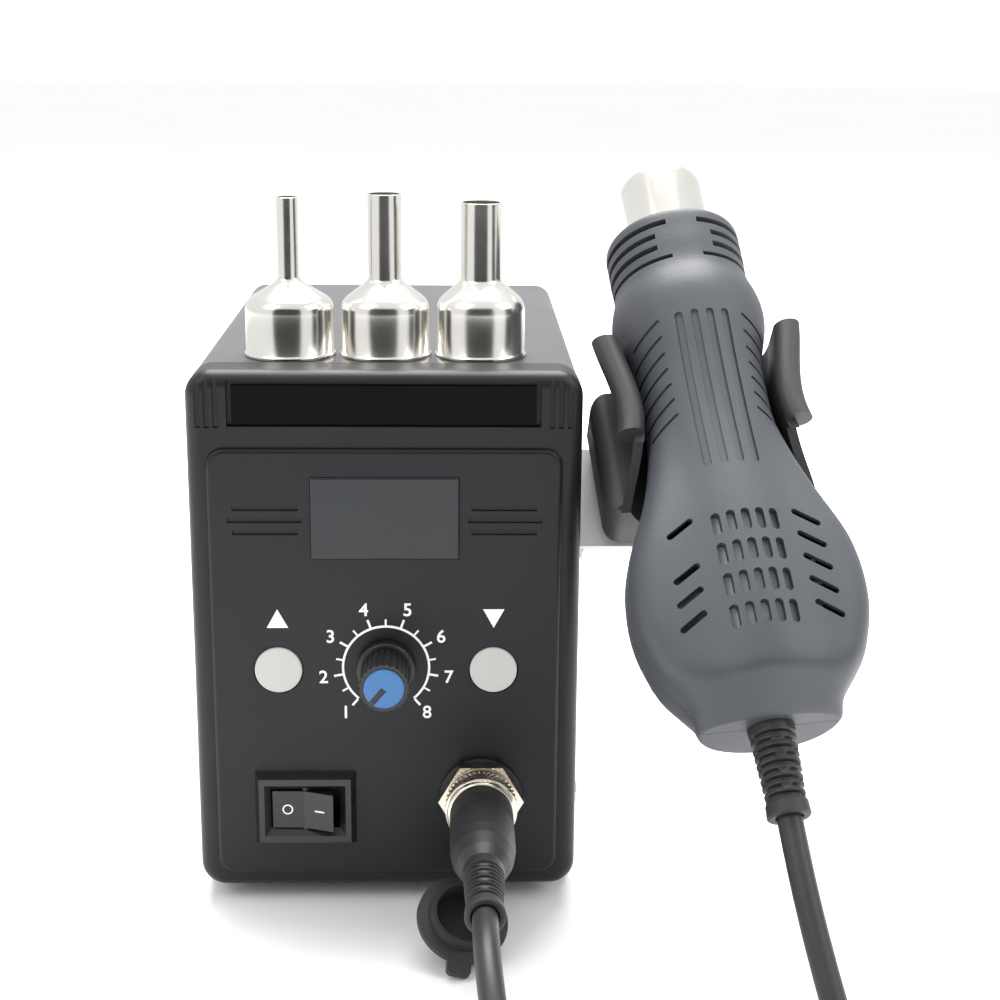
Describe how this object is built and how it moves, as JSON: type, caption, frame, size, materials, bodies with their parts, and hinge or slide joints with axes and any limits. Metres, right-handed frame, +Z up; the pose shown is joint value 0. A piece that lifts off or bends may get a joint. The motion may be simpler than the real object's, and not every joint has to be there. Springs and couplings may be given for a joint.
{
  "type": "hot air station",
  "caption": "Bench hot air station: boxy housing with a dial, keys and switch, slip-on nozzles on top, and a blower handle resting in a side cradle on its cord.",
  "frame": {"origin": "on the desk, under the centre of the housing's footprint", "axes": "+Z up, +Y towards the back of the housing, +X to the right as the front is seen; the handle is on +X"},
  "size_m": [0.166, 0.3452, 0.1874],
  "materials": {
    "aluminium": "extruded",
    "bare_steel": "zinc-plated sheet steel",
    "black_plastic": "black",
    "blue_cap": "blue",
    "board": "green glass-epoxy board",
    "bright_steel": "polished stainless steel",
    "ceramic": "alumina ceramic",
    "copper": "enamelled copper",
    "cord": "grey-black silicone cord",
    "cover_paint": "satin black powder paint",
    "cradle_plastic": "dark grey moulded plastic",
    "display": "LCD module",
    "handle_plastic": "blue-grey textured nylon",
    "housing_plastic": "fine satin moulded ABS",
    "impeller_plastic": "pale grey",
    "iron": "laminated iron",
    "key": "off-white",
    "knob": "black",
    "lens": "smoked lens",
    "mica": "mica sheet",
    "name_plate": "gloss black",
    "nickel": "nickel-plated brass",
    "rubber": "black rubber",
    "switch": "black switch plastic"
  },
  "bodies": {
    "station": {"base_tray": "cover_paint", "bezel_screws": "bare_steel", "board_spacers": "nickel", "capacitors": "black_plastic", "control_board": "board", "cord_coil": "cord", "cord_handle_run": "cord", "cord_plug_run": "cord", "cover": "cover_paint", "cradle": "cradle_plastic", "cradle_screws": "bare_steel", "display_module": "display", "display_window": "lens", "feet": "rubber", "front_bezel": "housing_plastic", "front_frame": "bare_steel", "fuse": "nickel", "heatsink": "aluminium", "holder_bracket": "bright_steel", "mains_inlet": "black_plastic", "name_plate": "name_plate", "outer_screws": "bare_steel", "panel_socket": "nickel", "plug_body": "rubber", "plug_relief": "rubber", "pot_body": "bare_steel", "pot_nut": "nickel", "power_board": "board", "rear_panel": "cover_paint", "socket_nut": "nickel", "switch_frame": "switch", "tact_switches": "black_plastic", "terminal_block": "black_plastic", "transformer_bracket": "bare_steel", "transformer_coil": "copper", "transformer_core": "iron", "triac": "black_plastic"},
    "handle": {"handle_top_shell": "handle_plastic", "handle_bottom_shell": "handle_plastic", "shell_screws": "bare_steel", "heater_tube": "bright_steel", "mica_sleeve": "mica", "heater_core": "ceramic", "heater_coil": "nickel", "heater_flange": "ceramic", "fan_motor": "impeller_plastic", "handle_board": "board", "handle_relief": "rubber"},
    "impeller": {"impeller": "impeller_plastic"},
    "up_key": {"up_button": "key"},
    "down_key": {"down_button": "key"},
    "air_dial": {"air_knob": "knob", "knob_cap": "blue_cap", "pot_shaft": "nickel"},
    "power_rocker": {"rocker": "switch"},
    "coupling_ring": {"plug_ring": "nickel"},
    "dust_cap": {"dust_cap": "rubber"},
    "nozzle_small": {"nozzle_small": "bright_steel"},
    "nozzle_medium": {"nozzle_medium": "bright_steel"},
    "nozzle_large": {"nozzle_large": "bright_steel"}
  },
  "joints": [
    {"name": "handle_lift", "type": "slide", "parent": "station", "child": "handle", "axis": [0, -0.7193, 0.6947], "range_m": [0, 0.06]},
    {"name": "impeller_spin", "type": "hinge", "parent": "handle", "child": "impeller", "pos_m": [0.08676, -0.09586, 0.09118], "axis": [0, -0.7193, 0.6947], "continuous": true},
    {"name": "up_press", "type": "slide", "parent": "station", "child": "up_key", "axis": [0, 1, 0], "range_m": [0, 0.0008], "stiffness_N_per_m": 800},
    {"name": "down_press", "type": "slide", "parent": "station", "child": "down_key", "axis": [0, 1, 0], "range_m": [0, 0.0008], "stiffness_N_per_m": 800},
    {"name": "air_turn", "type": "hinge", "parent": "station", "child": "air_dial", "pos_m": [0, -0.083, 0.0658], "axis": [0, 1, 0], "range_deg": [0, 280]},
    {"name": "power_rock", "type": "hinge", "parent": "station", "child": "power_rocker", "pos_m": [-0.021, -0.0768, 0.0275], "axis": [0, 0, 1], "range_deg": [0, 22]},
    {"name": "ring_turn", "type": "hinge", "parent": "station", "child": "coupling_ring", "pos_m": [0.0242, -0.085, 0.0305], "axis": [0, 1, 0], "continuous": true},
    {"name": "cap_swing", "type": "hinge", "parent": "station", "child": "dust_cap", "pos_m": [0.0242, -0.0773, 0.0305], "axis": [0, 1, 0], "range_deg": [0, 120]},
    {"name": "nozzle_small_lift", "type": "slide", "parent": "station", "child": "nozzle_small", "axis": [0, 0, 1], "range_m": [0, 0.05]},
    {"name": "nozzle_medium_lift", "type": "slide", "parent": "station", "child": "nozzle_medium", "axis": [0, 0, 1], "range_m": [0, 0.05]},
    {"name": "nozzle_large_lift", "type": "slide", "parent": "station", "child": "nozzle_large", "axis": [0, 0, 1], "range_m": [0, 0.05]}
  ]
}
